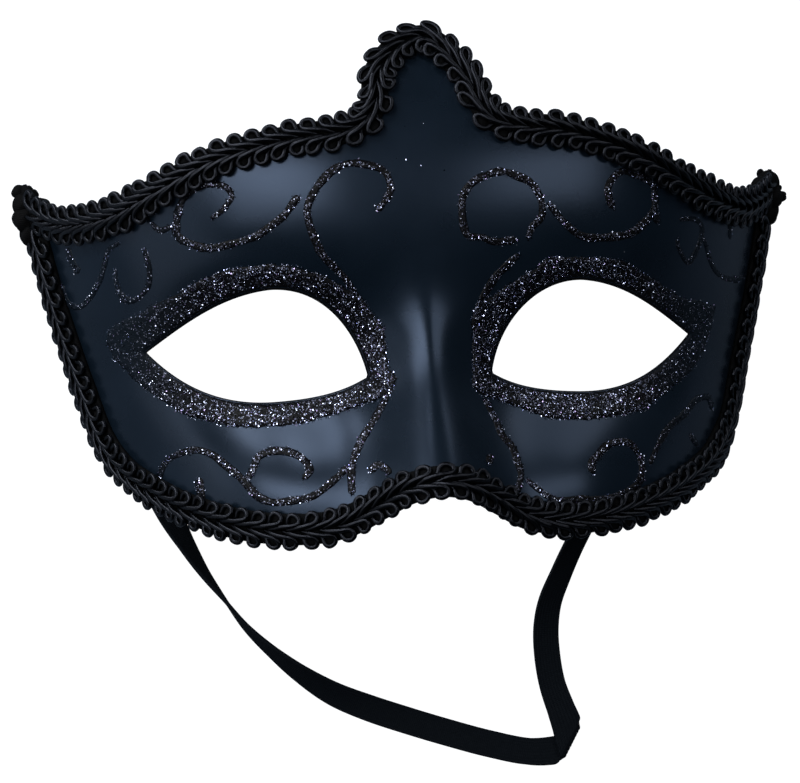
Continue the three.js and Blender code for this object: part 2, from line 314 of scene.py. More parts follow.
def rings_to_mesh(rings):
    """Closed skin over many lines of rings, rings[line, step, side], with a cap fan at each end, and
    nowhere under the table."""
    _, steps, sides, _ = rings.shape
    rings = np.maximum(rings, (-np.inf, -np.inf, 0.0))
    points, faces, uv = [], [], []
    skin = grid_faces(steps, sides)
    turn = np.arange(sides)
    here, after = turn / sides, (turn + 1.0) / sides
    for n, ring in enumerate(rings):
        low = n * (steps * sides + 2)
        high = low + (steps - 1) * sides
        first, last = high + sides, high + sides + 1
        points += [ring.reshape(-1, 3), ring[0].mean(0)[None], ring[-1].mean(0)[None]]
        arc = arc_of(ring.mean(1))
        faces += (skin + low).tolist()
        faces += [[first, low + (k + 1) % sides, low + k] for k in turn]
        faces += [[last, high + k, high + (k + 1) % sides] for k in turn]
        uv.append(grid_corner_uv(arc, sides).reshape(-1, 2))
        for a, b, along in ((after, here, 0.0), (here, after, arc[-1])):
            cap = np.stack([np.full(sides, 0.5), a, b], -1)
            uv.append(np.stack([cap, np.full_like(cap, along)], -1).reshape(-1, 2))
    return np.concatenate(points), faces, np.concatenate(uv)


def tube_rings(paths, normals, radius, sides):
    """Rings round each path; radius runs along the steps and the ends are rounded over."""
    ahead = unit(np.gradient(paths, axis=1))
    across = unit(np.cross(normals, ahead))
    up = np.cross(ahead, across)
    steps = paths.shape[1]
    end = np.minimum(np.arange(steps), np.arange(steps)[::-1])
    taper = np.array(END_TAPER)[np.minimum(end, len(END_TAPER) - 1)]
    size = (np.broadcast_to(radius, paths.shape[:2]) * taper)[..., None, None]
    angle = np.linspace(0.0, 2.0 * np.pi, sides, endpoint=False)
    ring = across[:, :, None] * np.cos(angle)[:, None] + up[:, :, None] * np.sin(angle)[:, None]
    return paths[:, :, None] + ring * size


def triangulated(loops, inner):
    """Points and triangles over an outline with holes and the points inside it."""
    points = [Vector(p) for p in np.concatenate([*loops, inner]).tolist()]
    edges, start = [], 0
    for loop in loops:
        count = len(loop)
        edges += [(start + k, start + (k + 1) % count) for k in range(count)]
        start += count
    verts, _, tris, came_from, _, _ = delaunay_2d_cdt(points, edges, [], 0, MERGE)
    flat = np.array([tuple(v) for v in verts])
    source = np.array([c[0] if c else -1 for c in came_from])
    tris = np.array([t for t in tris if len(t) == 3])
    tris = tris[between(flat[tris].mean(1), *loops)]
    a, b, c = (flat[tris[:, k]] for k in range(3))
    turned = (b - a)[:, 0] * (c - a)[:, 1] - (b - a)[:, 1] * (c - a)[:, 0] < 0
    tris[turned] = tris[turned][:, ::-1]
    return flat, source, tris


class Nodes:
    """Short ways to add and join the nodes of one tree."""

    def __init__(self, tree):
        self.tree = tree

    def give(self, socket, value):
        """Links what varies, and sets what is the same all over, on the socket itself."""
        if isinstance(value, bpy.types.NodeSocket):
            self.tree.links.new(value, socket)
        else:
            socket.default_value = value

    def add(self, kind, inputs=None, **settings):
        node = self.tree.nodes.new("ShaderNode" + kind)
        for key, value in settings.items():
            setattr(node, key, value)
        for key, value in (inputs or {}).items():
            self.give(node.inputs[key], value)
        return node

    def math(self, operation, a, b=0.0, c=0.0):
        return self.add("Math", {0: a, 1: b, 2: c}, operation=operation).outputs[0]

    def remap(self, value, low, high, to_low, to_high):
        inputs = {"Value": value, "From Min": low, "From Max": high}
        return self.add("MapRange", {**inputs, "To Min": to_low, "To Max": to_high}).outputs[0]

    def mix(self, factor, a, b):
        """From colour a to colour b; a plain colour is red, green and blue."""
        a, b = ((*c, 1.0) if isinstance(c, tuple) else c for c in (a, b))
        return self.add("Mix", {0: factor, 6: a, 7: b}, data_type="RGBA").outputs[2]

    def place(self):
        return self.add("TexCoord").outputs["Object"]

    def noise(self, scale, detail):
        return self.add("TexNoise", {"Vector": self.place(), "Scale": scale, "Detail": detail}).outputs[0]

    def cells(self, scale):
        return self.add("TexVoronoi", {"Vector": self.place(), "Scale": scale}).outputs

    def split(self, value):
        return self.add("SeparateXYZ", {0: value}).outputs

    def uv(self):
        return self.split(self.add("UVMap", uv_map="UVMap").outputs[0])

    def use(self, group, **values):
        node = self.add("Group", node_tree=group)
        for key, value in values.items():
            node.inputs[key.replace("_", " ")].default_value = value
        return node.outputs

    def bump(self, height, depth, strength):
        """A normal from a height whose full range is depth millimetres."""
        inputs = {"Height": height, "Distance": depth * MM, "Strength": strength}
        return self.add("Bump", inputs).outputs[0]


def effect(name, inputs, outputs, make):
    """A node group; make gets its nodes and inputs and returns what each output carries."""
    group = bpy.data.node_groups.new(name, "ShaderNodeTree")
    kind = "NodeSocketFloat"
    for label, value in inputs.items():
        group.interface.new_socket(name=label, in_out="INPUT", socket_type=kind).default_value = value
    for label in outputs:
        group.interface.new_socket(name=label, in_out="OUTPUT", socket_type=kind)
    enter = group.nodes.new("NodeGroupInput")
    leave = group.nodes.new("NodeGroupOutput")
    for label, value in make(Nodes(group), enter.outputs).items():
        group.links.new(value, leave.inputs[label])
    return group


def moulded_grain(nodes, given):
    """Fine grain that a mould leaves in plastic, and the slow mottle of its gloss."""
    mottle = nodes.remap(nodes.noise(given["Mottle Scale"], 4.0), 0.35, 0.65, 0.0, 1.0)
    return {"Grain": nodes.noise(given["Grain Scale"], 3.0), "Mottle": mottle}


def wound_thread(nodes, given):
    """Thread wound round a cord or laid side by side, from a length in millimetres along the surface."""
    turn, length, _ = nodes.uv()
    skew = nodes.math("MULTIPLY", turn, given["Slant"])
    turns = nodes.math("ADD", nodes.math("DIVIDE", length, given["Pitch"]), skew)
    wave = nodes.math("SINE", nodes.math("MULTIPLY", turns, 2.0 * np.pi))
    raised = nodes.math("SQRT", nodes.math("MULTIPLY_ADD", wave, 0.5, 0.5))
    uneven = nodes.noise(900.0, 2.0)
    worn = nodes.remap(uneven, 0.2, 0.8, 0.6, 1.0)
    return {"Raised": nodes.math("MULTIPLY", raised, worn), "Unevenness": uneven}


def settled_dust(nodes, given):
    """A thin scatter of pale specks and lint, more on what faces up."""
    cells = nodes.cells(given["Speck Scale"])
    speck = nodes.remap(cells["Distance"], 0.05, 0.11, 1.0, 0.0)
    rare = nodes.math("GREATER_THAN", nodes.split(cells["Color"])[0], given["Rarity"])
    up = nodes.split(nodes.add("NewGeometry").outputs["Normal"])[2]
    settled = nodes.remap(up, 0.2, 0.9, 0.1, 1.0)
    return {"Dust": nodes.math("MULTIPLY", nodes.math("MULTIPLY", speck, rare), settled)}


GRAIN = effect(
    "moulded grain", {"Grain Scale": 1500.0, "Mottle Scale": 40.0}, ["Grain", "Mottle"], moulded_grain
)
THREAD = effect("wound thread", {"Pitch": 0.3, "Slant": 1.0}, ["Raised", "Unevenness"], wound_thread)
DUST = effect("settled dust", {"Speck Scale": 700.0, "Rarity": 0.985}, ["Dust"], settled_dust)
# What a finish's tone, roughness and height follow in each effect, and from and to where its roughness runs.
GRAINED = (GRAIN, "Mottle", "Mottle", "Grain", 0.0, 1.0)
THREADED = (THREAD, "Raised", "Unevenness", "Raised", 0.2, 0.8)


def start_finish(name):
    """A new material and the nodes it is made with."""
    made = bpy.data.materials.new(name)
    made.use_nodes = True
    return made, Nodes(made.node_tree)


def end_finish(nodes, **sockets):
    shader = nodes.tree.nodes["Principled BSDF"]
    for key, value in sockets.items():
        nodes.give(shader.inputs[key.replace("_", " ")], value)


def patterned(name, pattern, scales, tones, roughness, bump, dust=None, **same_all_over):
    """A material whose tone, roughness and height follow an effect. bump is a depth and a strength; dust is
    the scale of its specks, how rare they are and their colour."""
    made, nodes = start_finish(name)
    group, tone_by, roughness_by, height_by, low, high = pattern
    given = nodes.use(group, **scales)
    tone = nodes.mix(given[tone_by], *tones)
    if dust:
        scale, rarity, colour = dust
        tone = nodes.mix(nodes.use(DUST, Speck_Scale=scale, Rarity=rarity)["Dust"], tone, colour)
    end_finish(
        nodes,
        Base_Color=tone,
        Roughness=nodes.remap(given[roughness_by], low, high, *roughness),
        Normal=nodes.bump(given[height_by], *bump),
        **same_all_over,
    )
    return made


def satin_shell():
    """Navy-black moulded plastic, satin, with soft blue-grey lights."""
    return patterned(
        "satin_shell_plastic", GRAINED, dict(Grain_Scale=1400.0, Mottle_Scale=55.0),
        tones=((0.0040, 0.0082, 0.0138), (0.0058, 0.0108, 0.0182)),
        roughness=(0.265, 0.295), bump=(0.02, 0.5), dust=(620.0, 0.992, (0.16, 0.17, 0.19)),
        Specular_Tint=(0.56, 0.71, 1.0, 1.0),
    )


def matt_inside():
    """The shell's inner face: the same plastic, duller and coarser from the mould."""
    return patterned(
        "matt_inside_plastic", GRAINED, dict(Grain_Scale=700.0, Mottle_Scale=30.0),
        tones=((0.010, 0.011, 0.013), (0.017, 0.018, 0.021)), roughness=(0.55, 0.68), bump=(0.05, 0.6),
    )


def black_edge_paint():
    """Matt black paint on the cut edge round each eye hole."""
    return patterned(
        "black_edge_paint", GRAINED, dict(Grain_Scale=900.0, Mottle_Scale=120.0),
        tones=((0.0008, 0.0009, 0.0012), (0.0018, 0.0020, 0.0026)),
        roughness=(0.60, 0.75), bump=(0.05, 0.6), Specular_IOR_Level=0.15,
    )


def gimp_cord():
    """Black shiny thread wound close round a cotton core."""
    return patterned(
        "gimp_cord_thread", THREADED, dict(Pitch=0.26, Slant=1.0),
        tones=((0.0006, 0.0006, 0.0008), (0.0018, 0.0019, 0.0024)),
        roughness=(0.13, 0.20), bump=(0.04, 0.6), dust=(520.0, 0.985, (0.10, 0.10, 0.11)),
        Specular_IOR_Level=0.31, Specular_Tint=(0.79, 0.83, 1.0, 1.0),
    )


def braid_tape():
    """The dull woven tape under the loops."""
    return patterned(
        "braid_tape_weave", THREADED, dict(Pitch=0.45, Slant=9.0),
        tones=((0.0006, 0.0006, 0.0008), (0.0020, 0.0020, 0.0024)),
        roughness=(0.75, 0.9), bump=(0.10, 0.8), Specular_IOR_Level=0.12,
    )


def ribbed_elastic():
    """Knitted elastic: fine crosswise threads over the ribs that the mesh carries."""
    return patterned(
        "ribbed_elastic", THREADED, dict(Pitch=0.42, Slant=0.0),
        tones=((0.0012, 0.0017, 0.0026), (0.0038, 0.0052, 0.0076)),
        roughness=(0.62, 0.80), bump=(0.08, 0.6), dust=(480.0, 0.98, (0.09, 0.09, 0.10)),
        Specular_IOR_Level=0.14, Specular_Tint=(0.72, 0.85, 1.0, 1.0),
    )


GLUE_THINS, GLUE_THIN = 48.0, 64.0  # from and to which |x| more of the shell shows through the glue


def glitter_glue():
    """Black glue packed with fine grains, some of which catch the light."""
    made, nodes = start_finish("glitter_glue")
    grain = nodes.use(GRAIN, Grain_Scale=2600.0, Mottle_Scale=700.0)
    own = nodes.split(nodes.cells(3600.0)["Color"])
    aside = nodes.math("ABSOLUTE", nodes.split(nodes.place())[0])
    thin = nodes.remap(aside, GLUE_THINS * MM, GLUE_THIN * MM, 0.0, 1.0)
    glue = nodes.mix(grain["Mottle"], (0.0009, 0.0009, 0.0015), (0.0024, 0.0024, 0.0040))
    glue = nodes.mix(thin, glue, (0.0050, 0.0095, 0.0160))
    metal = nodes.math("GREATER_THAN", own[0], nodes.remap(thin, 0.0, 1.0, 0.89, 0.95))
    rough = nodes.math("MULTIPLY", grain["Grain"], 0.4)
    height = nodes.math("ADD", nodes.math("MULTIPLY", own[1], 0.8), rough)
    end_finish(
        nodes,
        Base_Color=nodes.mix(metal, glue, (0.16, 0.165, 0.22)),
        Metallic=metal,
        Roughness=nodes.remap(own[2], 0.0, 1.0, 0.30, 0.60),
        Specular_IOR_Level=0.15,
        Normal=nodes.bump(height, 0.22, 1.0),
    )
    return made


def glitter_flake():
    """Silver flakes with a blue cast that differs from flake to flake; a few are violet, and many dark."""
    made, nodes = start_finish("glitter_flake")
    cast, pick, _ = nodes.uv()
    blue = nodes.mix(cast, (0.60, 0.64, 0.94), (0.80, 0.84, 1.0))
    violet = nodes.mix(nodes.math("GREATER_THAN", pick, 0.95), blue, (0.48, 0.38, 0.66))
    tone = nodes.mix(nodes.math("LESS_THAN", pick, 0.41), violet, (0.01, 0.01, 0.015))
    end_finish(nodes, Base_Color=tone, Metallic=1.0, Roughness=nodes.remap(cast, 0.0, 1.0, 0.10, 0.34))
    return made


def pale_floor():
    """Pale paper that glows for the camera alone, so that it looks white and lights nothing."""
    made, nodes = start_finish("pale_floor")
    grain = nodes.use(GRAIN, Grain_Scale=300.0, Mottle_Scale=6.0)
    end_finish(
        nodes,
        Base_Color=nodes.mix(grain["Mottle"], (0.120, 0.150, 0.190), (0.126, 0.157, 0.198)),
        Roughness=0.9,
        Emission_Color=(1.0, 1.0, 1.0, 1.0),
        Emission_Strength=nodes.add("LightPath").outputs["Is Camera Ray"],
    )
    return made


# The camera, as fitted to the outline and the eye holes.
CAMERA_YAW = np.radians(5.62)
CAMERA_PITCH = np.radians(7.19)
CAMERA_ROLL = np.radians(2.744)
CAMERA_TARGET = np.array([-6.342, 0.226, 40.5])
CAMERA_DISTANCE = 760.0
FOCAL_PIXELS = 3565.4
PICTURE_WIDTH = 800
SENSOR = 36.0
NEAREST_SEEN = 0.01


def add_camera():
    """The camera looks along its yaw and pitch at the target and rolls about that line."""
    yaw, pitch = CAMERA_YAW, CAMERA_PITCH
    away = np.array([-np.sin(yaw) * np.cos(pitch), -np.sin(pitch), np.cos(yaw) * np.cos(pitch)])
    level_up = unit(np.array([0.0, 1.0, 0.0]) - away * away[1])
    level_right = np.cross(-away, level_up)
    right = level_right * np.cos(CAMERA_ROLL) - level_up * np.sin(CAMERA_ROLL)
    up = level_right * np.sin(CAMERA_ROLL) + level_up * np.cos(CAMERA_ROLL)
    data = bpy.data.cameras.new("camera")
    data.sensor_width = SENSOR
    data.lens = FOCAL_PIXELS * SENSOR / PICTURE_WIDTH
    data.clip_start = NEAREST_SEEN
    camera = into_scene("camera", data)
    at = (CAMERA_TARGET + CAMERA_DISTANCE * away - ORIGIN) * MM
    turn = Matrix(np.stack([right, up, away], -1).tolist()).to_4x4()
    camera.matrix_world = Matrix.Translation(at.tolist()) @ turn
    bpy.context.scene.camera = camera


add_camera()

BAND_THICKNESS = 0.9
BAND_STEPS, BAND_SECTION = 420, 55
BAND_RIBS = 9
RIB_DEPTH, RIB_SHAPE = 0.20, 0.7
EDGE_CROWDING = 0.6  # how much closer the section's points lie at its edges
EDGE_POWER, EDGE_LEAST = 14, 0.25
# x, y, z, compass angle of the band's width, its tilt out of level, and half the width there
BAND_ROUTE = np.array([
    (-66.2, 14.0, 12.2, 186, -54, 3), (-65.4, 8.0, 10.9, 190, -53, 3),
    (-63.6, 2.0, 8.9, 196, -45, 3), (-61.2, -5.2, 6.0, 201, -30, 3),
    (-58.4, -13.0, 3.3, 205, -8, 3), (-55.2, -20.4, 2.0, 208, 22, 3),
    (-51.8, -27.2, 2.6, 211, 50, 3), (-48.1, -33.8, 2.9, 213, 68, 3),
    (-43.7, -40.2, 3.1, 216, 84, 3), (-39.2, -46.4, 3.0, 219, 95, 3),
    (-33.7, -52.0, 3.0, 225, 106, 3), (-27.5, -57.2, 2.8, 233, 123, 3),
    (-20.6, -61.7, 2.0, 241, 145, 3), (-13.0, -65.1, 1.3, 247, 164, 3),
    (-4.6, -68.2, 0.6, 250, 177, 3), (4.4, -71.3, 0.5, 252, 180, 3),
    (13.6, -74.2, 0.5, 255, 180, 3), (22.4, -76.3, 0.5, 256, 180, 3),
    (28.0, -76.3, 0.47, 250, 180, 3.5), (30.4, -75.7, 0.46, 244, 180, 4.05),
    (31.65, -74.7, 0.50, 240, 180, 4.45), (32.05, -74.6, 0.95, 240, 180, 3.8),
    (31.65, -74.1, 1.40, 239, 180, 4.45), (31.5, -72.6, 1.40, 227, 180, 4.05),
    (31.0, -70.3, 1.40, 210, 180, 3.5), (30.1, -67.3, 1.3, 201, 180, 3.2),
    (28.5, -61.6, 0.8, 194, 182, 3), (27.7, -55.2, 0.8, 187, 186, 3),
    (27.7, -49.0, 1.2, 178, 194, 3), (28.8, -43.4, 1.8, 168, 205, 3),
    (31.5, -37.4, 2.2, 160, 215, 3), (34.8, -31.0, 2.4, 154, 221, 3),
    (40.0, -22.2, 2.6, 148, 223, 3), (46.2, -12.8, 3.5, 145, 225, 3),
    (52.8, -3.6, 5.6, 143, 228, 3), (58.8, 4.6, 8.2, 145, 230, 3), (63.0, 11.0, 10.9, 152, 233, 3),
    (65.4, 17.2, 13.0, 166, 234, 3),
])


def centripetal(points, u):
    """A centripetal Catmull-Rom curve through points, and its direction, at shares u of its spans."""
    spans = len(points) - 1
    i = np.clip(np.floor(u * spans).astype(int), 0, spans - 1)
    w = (u * spans - i)[:, None]
    ends = np.concatenate([[2 * points[0] - points[1]], points, [2 * points[-1] - points[-2]]])
    a, b, c, d = ends[i], ends[i + 1], ends[i + 2], ends[i + 3]
    ab, bc, cd = (np.sqrt(np.linalg.norm(q - p, axis=1))[:, None] for p, q in ((a, b), (b, c), (c, d)))
    start = ((b - a) / ab - (c - a) / (ab + bc) + (c - b) / bc) * bc
    end = ((c - b) / bc - (d - b) / (bc + cd) + (d - c) / cd) * bc
    two = -3 * b + 3 * c - 2 * start - end
    three = 2 * b - 2 * c + start + end
    return b + start * w + two * w ** 2 + three * w ** 3, unit(start + 2 * two * w + 3 * three * w ** 2)


def band_section(count):
    """The elastic's cross-section round its edge: across from -1 to 1, and up from -1 to 1, with ribs."""
    even, crowded = np.linspace(-1.0, 1.0, count), -np.cos(np.linspace(0.0, np.pi, count))
    across = EDGE_CROWDING * crowded + (1 - EDGE_CROWDING) * even
    rib = 1 - RIB_DEPTH + RIB_DEPTH * np.abs(np.cos(across * 0.5 * np.pi * BAND_RIBS)) ** RIB_SHAPE
    edge = np.sqrt(np.maximum(1.0 - np.abs(across) ** EDGE_POWER, 0.0)) + EDGE_LEAST
    top = np.stack([across, rib * np.minimum(1.0, edge)], -1)
    return np.concatenate([top, top[::-1] * (1, -1)])


def add_band(material):
    """The elastic, flat along its route."""
    u = np.linspace(0.0, 1.0, BAND_STEPS + 1)
    at, ahead = centripetal(BAND_ROUTE[:, :3], u)
    knots = np.arange(len(BAND_ROUTE))
    turn, tilt, half = (np.interp(u * knots[-1], knots, BAND_ROUTE[:, k]) for k in (3, 4, 5))
    turn, tilt = np.radians(turn), np.radians(tilt)
    width = np.stack([np.cos(turn) * np.cos(tilt), np.sin(turn) * np.cos(tilt), np.sin(tilt)], -1)
    face = unit(np.cross(ahead, width))
    section = band_section(BAND_SECTION)
    ring = at[:, None] + (width * half[:, None])[:, None] * section[None, :, :1]
    ring = ring + face[:, None] * section[None, :, 1:] * BAND_THICKNESS / 2
    points, faces, uv = rings_to_mesh(ring[None])
    piece = build("elastic_band_strap", points, faces, material, uv)
    place(piece, "elastic_band")


add_band(ribbed_elastic())

EDGE_ROUND, EDGE_TURNS = 0.35, 7
SHELL_CELL, CELL_CLEAR = 1.25, 0.45
SHELL_REACH, SHELL_BOTTOM, SHELL_TOP = 92.0, -32.0, 76.0
ROW_POINTS, UNROLL_POINTS = 1600, 81
RIM_STEP, EYE_STEP = 0.8, 0.6
SATIN, MATT, PAINTED = 0, 1, 2  # the shell's three finishes


def unrolled(x, y):
    """Distance from the midline over the face's own curve, so that cells keep their size at the sides."""
    t = np.linspace(0.0, 1.0, UNROLL_POINTS)
    across = x[..., None] * t
    height = face_z(across, y[..., None])
    return np.sign(x) * np.hypot(np.diff(across), np.diff(height)).sum(-1)


def shell_grid(loops, cell):
    """Inner points, an even cell apart over the curved face, clear of every outline."""
    rows = []
    x = np.linspace(-SHELL_REACH, SHELL_REACH, ROW_POINTS)
    for y in np.arange(SHELL_BOTTOM, SHELL_TOP, cell):
        arc = unrolled(x, np.full_like(x, y))
        at = np.arange(np.ceil(arc[0] / cell), np.floor(arc[-1] / cell)) * cell
        at = at + (cell / 2 if len(rows) % 2 else 0)
        rows.append(np.stack([np.interp(at, arc, x), np.full_like(at, y)], -1))
    points = np.concatenate(rows)
    points = points[between(points, *loops)]
    return points[distance_to(points, *loops) > CELL_CLEAR * cell]


def inner_z(x, y):
    """The shell's inner face, a wall's thickness in along the normal."""
    return np.maximum(face_z(x, y) - WALL / normal_of(face_z, x, y)[..., 2], SHELL_LOW)


def outer_z(x, y):
    """The face, kept off the table by the least wall."""
    return np.maximum(face_z(x, y), SHELL_LOW + LEAST_WALL)


def add_shell(materials):
    """The outer and inner face over one net of points, joined by a rounded edge at the rim and the holes."""
    eyes = [spaced(eye_outline(side), EYE_STEP, True) for side in (1, -1)]
    outlines = [anticlockwise(loop) for loop in [spaced(rim_outline(), RIM_STEP, True), *eyes]]
    loops = [widened(loop, -EDGE_ROUND if k == 0 else EDGE_ROUND) for k, loop in enumerate(outlines)]
    grid = shell_grid(loops, SHELL_CELL)
    plan = np.concatenate([*loops, grid])
    flat = np.stack([unrolled(plan[:, 0], plan[:, 1]), plan[:, 1]], -1)
    ends = np.cumsum([len(loop) for loop in loops])
    flat_loops = [flat[end - len(loop):end] for loop, end in zip(loops, ends)]
    _, source, tris = triangulated(flat_loops, flat[ends[-1]:])
    tris = source[tris]
    x, y = plan[:, 0], plan[:, 1]
    outer = np.stack([x, y, outer_z(x, y)], -1)
    inner = np.stack([x, y, inner_z(x, y)], -1)
    count = len(plan)
    points = [outer, inner]
    faces = tris.tolist() + (tris[:, ::-1] + count).tolist()
    finish = [SATIN] * len(tris) + [MATT] * len(tris)
    start = 2 * count
    turns = np.linspace(0.0, np.pi, EDGE_TURNS)[1:-1]
    for k, (loop, outline) in enumerate(zip(loops, outlines)):
        size = len(loop)
        first = ends[k] - size
        way = outline - loop
        rows = [np.arange(first, first + size)]
        for turn in turns:
            edge = loop + way * np.sin(turn)
            high, low = outer_z(*edge.T), inner_z(*edge.T)
            points.append(np.column_stack([edge, high - (high - low) * (1 - np.cos(turn)) / 2]))
            rows.append(np.arange(start, start + size))
            start += size
        rows.append(np.arange(first, first + size) + count)
        for a, b in zip(rows, rows[1:]):
            a2, b2 = np.roll(a, -1), np.roll(b, -1)
            quads = np.stack([a, b, b2, a2], -1) if k == 0 else np.stack([a, a2, b2, b], -1)
            faces += quads.tolist()
            finish += [SATIN if k == 0 else PAINTED] * size
    piece = build("moulded_shell", np.concatenate(points), faces, materials, None, finish)
    place(piece, "mask_shell")


add_shell([satin_shell(), matt_inside(), black_edge_paint()])

GAP = 0.45  # how far the braid stands off the face
BRAID_PITCH, SIDE_SHIFT = 3.9, 0.1  # the two sides' loops are this share of a pitch off the middle
CORD_RADIUS = 0.56
LOOP_HEAD = (0.6, 2.0)  # how far out a loop's stem ends and its head begins
LOOP_UNEVEN, BEND_UNEVEN, CORD_UNEVEN = (0.13, 0.13, 0.07), 0.03, 0.04
TAPE_INNER, TAPE_OUTER = (2.5, 3.5), 3.1  # half widths: inside, of the top and the lower braid, and outside
TAPE_TOP, TAPE_DROP, TAPE_LIFT = 0.70, 0.30, 0.03
TAPE_STEP, TAPE_POINTS = 0.8, 13
# Each braid lies wider towards the mask's sides: from and to which |x|, and how much left and right of it.
TOP_WIDER, LOWER_WIDER = (52.0, 64.0, 0.12, 0.12), (62.0, 69.0, 0.42, 0.25)
PEAK_FROM, PEAK_TO, PEAK_SLANT = 54.0, 61.0, 0.45
SLANT_FROM = 1.0  # how far out from the middle a slanted loop begins to lean
SLANT_UNEVEN, SLANT_UNEVEN_PEAK, RISE_UNEVEN_PEAK = 0.08, 0.14, 0.20
TIP_CLEAR, END_CLEAR, TAPE_CLEAR = 3.0, 0.6, 0.2  # how far short of its route's ends a braid's parts stop
TOP_BRAID = [
    (-83.8, 51.2), (-80.8, 46.8), (-76.0, 42.7), (-70.2, 41.1), (-63.4, 41.6), (-55.6, 44.5),
    (-45.4, 48.8), (-34.0, 51.4), (-25.0, 52.6), (-17.8, 53.2), (-13.0, 55.4), (-10.4, 59.4),
    (-9.7, 64.8), (-7.6, 68.6), (-4.0, 72.0), (0.6, 73.4), (4.5, 70.7), (7.4, 67.0), (10.0, 63.0),
    (11.5, 59.2), (14.6, 55.2), (20.6, 53.4), (29.0, 52.6), (40.0, 50.0), (50.0, 46.4),
    (58.6, 42.8), (66.0, 40.9), (73.0, 41.0), (79.0, 44.4), (84.1, 49.5),
]
LOWER_BRAID_HALF = [
    (81.1, 41.8), (78.7, 30.6), (76.0, 19.6), (72.9, 8.0), (69.1, -4.6), (64.9, -11.5),
    (59.2, -17.0), (51.2, -22.4), (40.4, -26.8), (29.0, -28.7), (19.6, -27.9), (11.6, -24.5),
    (6.0, -22.1), (0.0, -21.2),
]
# One loop of the gimp: how far along the braid and out from its middle it lies, and how high.
LOOP = np.array([
    (6.0, 0.05, 0.50), (5.0, 0.30, 0.90), (3.9, 0.58, 1.35), (2.6, 0.86, 1.70), (1.2, 1.12, 1.80),
    (0.0, 1.34, 1.72), (-0.85, 1.72, 1.50), (-1.26, 2.42, 1.30), (-1.02, 3.12, 1.15),
    (-0.36, 3.56, 1.05), (0.42, 3.54, 1.00), (1.00, 3.12, 0.98), (1.26, 2.48, 0.95),
    (1.42, 1.85, 0.85), (1.85, 1.30, 0.65), (2.60, 0.90, 0.45),
])
# Lumps and knobs of the two bound ends: where each one lies, then its half sizes.
LEFT_TIP = [
    (-84.7, 49.4, 6.0, 2.7, 2.7, 2.6), (-84.4, 46.3, 6.0, 3.1, 3.2, 2.9),
    (-83.5, 43.2, 5.2, 2.6, 3.2, 2.8), (-81.3, 47.9, 9.6, 2.5, 2.3, 2.0),
    (-81.2, 45.2, 9.2, 2.4, 2.6, 2.2), (-85.8, 52.4, 5.8, 1.7, 1.6, 1.5),
    (-83.9, 52.2, 6.2, 1.5, 1.5, 1.3), (-82.6, 51.4, 6.8, 1.1, 1.3, 1.0),
]
RIGHT_TIP = [
    (83.1, 49.5, 6.2, 2.6, 2.6, 2.5), (83.2, 46.0, 6.2, 3.0, 3.1, 2.9),
    (82.6, 42.9, 5.2, 2.7, 3.2, 2.7), (80.9, 47.6, 9.6, 2.6, 2.6, 2.1),
    (80.7, 44.6, 9.6, 2.4, 2.5, 2.2), (86.0, 46.2, 5.4, 1.35, 1.25, 1.2),
    (85.4, 48.1, 5.8, 0.9, 0.8, 0.9), (81.5, 51.4, 6.4, 0.9, 1.1, 0.9),
    (84.1, 50.5, 6.0, 1.4, 1.2, 1.2),
]
TIP_ROWS, TIP_SIDES, TIP_POLE = 22, 32, 0.02
TIP_LUMPS, TIP_CREASES = (1, 2, 3, 5), (8, 11, 15)  # how many waves run round each lump
LUMP_HEIGHT, CREASE_HEIGHT = 0.05, 0.016
LUMP_SHARE, CREASE_SHARE, WAVE_SKEW = (0.4, 1.0), (0.5, 1.0), (2, 5)
TRIM_STEPS = 1201
LOOP_STEPS, LOOP_SIDES = 40, 10
LOOP_EYE = slice(14, 34)  # the steps that run round a loop's eye
# The webs are painted shade: dull black sheets that darken the eye of each loop.
SHADE_WEB_FOOT, SHADE_WEB_TOP = 0.55, 0.15  # how far under the cord's centre the web lies
CORD, TAPE = 0, 1  # the braid's two finishes


def curve_through(points, steps):
    """An even-stepped curve through points[line, point, axis], for many lines at once."""
    count = points.shape[1]
    t = np.linspace(0.0, count - 1.0, steps)
    i = np.minimum(t.astype(int), count - 2)
    w = (t - i)[:, None]
    padded = np.concatenate([points[:, :1], points, points[:, -1:]], 1)
    a, b, c, d = (padded[:, i + k] for k in range(4))
    start, end = (c - a) / 2, (d - b) / 2
    cubic, square = 2 * b - 2 * c + start + end, -3 * b + 3 * c - 2 * start - end
    return cubic * w ** 3 + square * w ** 2 + start * w + b


class Trim:
    """A line over the face with its own directions, measured along its length."""

    def __init__(self, plan, height_at, wider):
        self.height_at = height_at
        self.wider = wider
        self.centre = on_height(height_at, curve_through(plan[None], TRIM_STEPS)[0])
        self.arc = arc_of(self.centre)
        self.length = self.arc[-1]
        self.ahead = unit(np.gradient(self.centre, axis=0))
        normal = normal_of(height_at, self.centre[:, 0], self.centre[:, 1])
        self.out = unit(np.cross(normal, self.ahead))

    def read(self, table, s):
        inside_s = np.clip(s, 0.0, self.length)
        return np.stack([np.interp(inside_s, self.arc, table[:, k]) for k in range(3)], -1)

    def at(self, s, c, h):
        """The point s along, c out from the middle and h off the face, and the face's normal there."""
        s, c, h = np.broadcast_arrays(s, c, h)
        p = self.read(self.centre, s)
        near, far, left, right = self.wider
        c = c * (1.0 + smooth(np.abs(p[..., 0]), near, far) * np.where(c > 0.0, left, right))
        p = p + unit(self.read(self.out, s)) * c[..., None]
        over = s - np.clip(s, 0.0, self.length)
        p = p + unit(self.read(self.ahead, s)) * over[..., None]
        return on_height(self.height_at, p, GAP + h), normal_of(self.height_at, p[..., 0], p[..., 1])


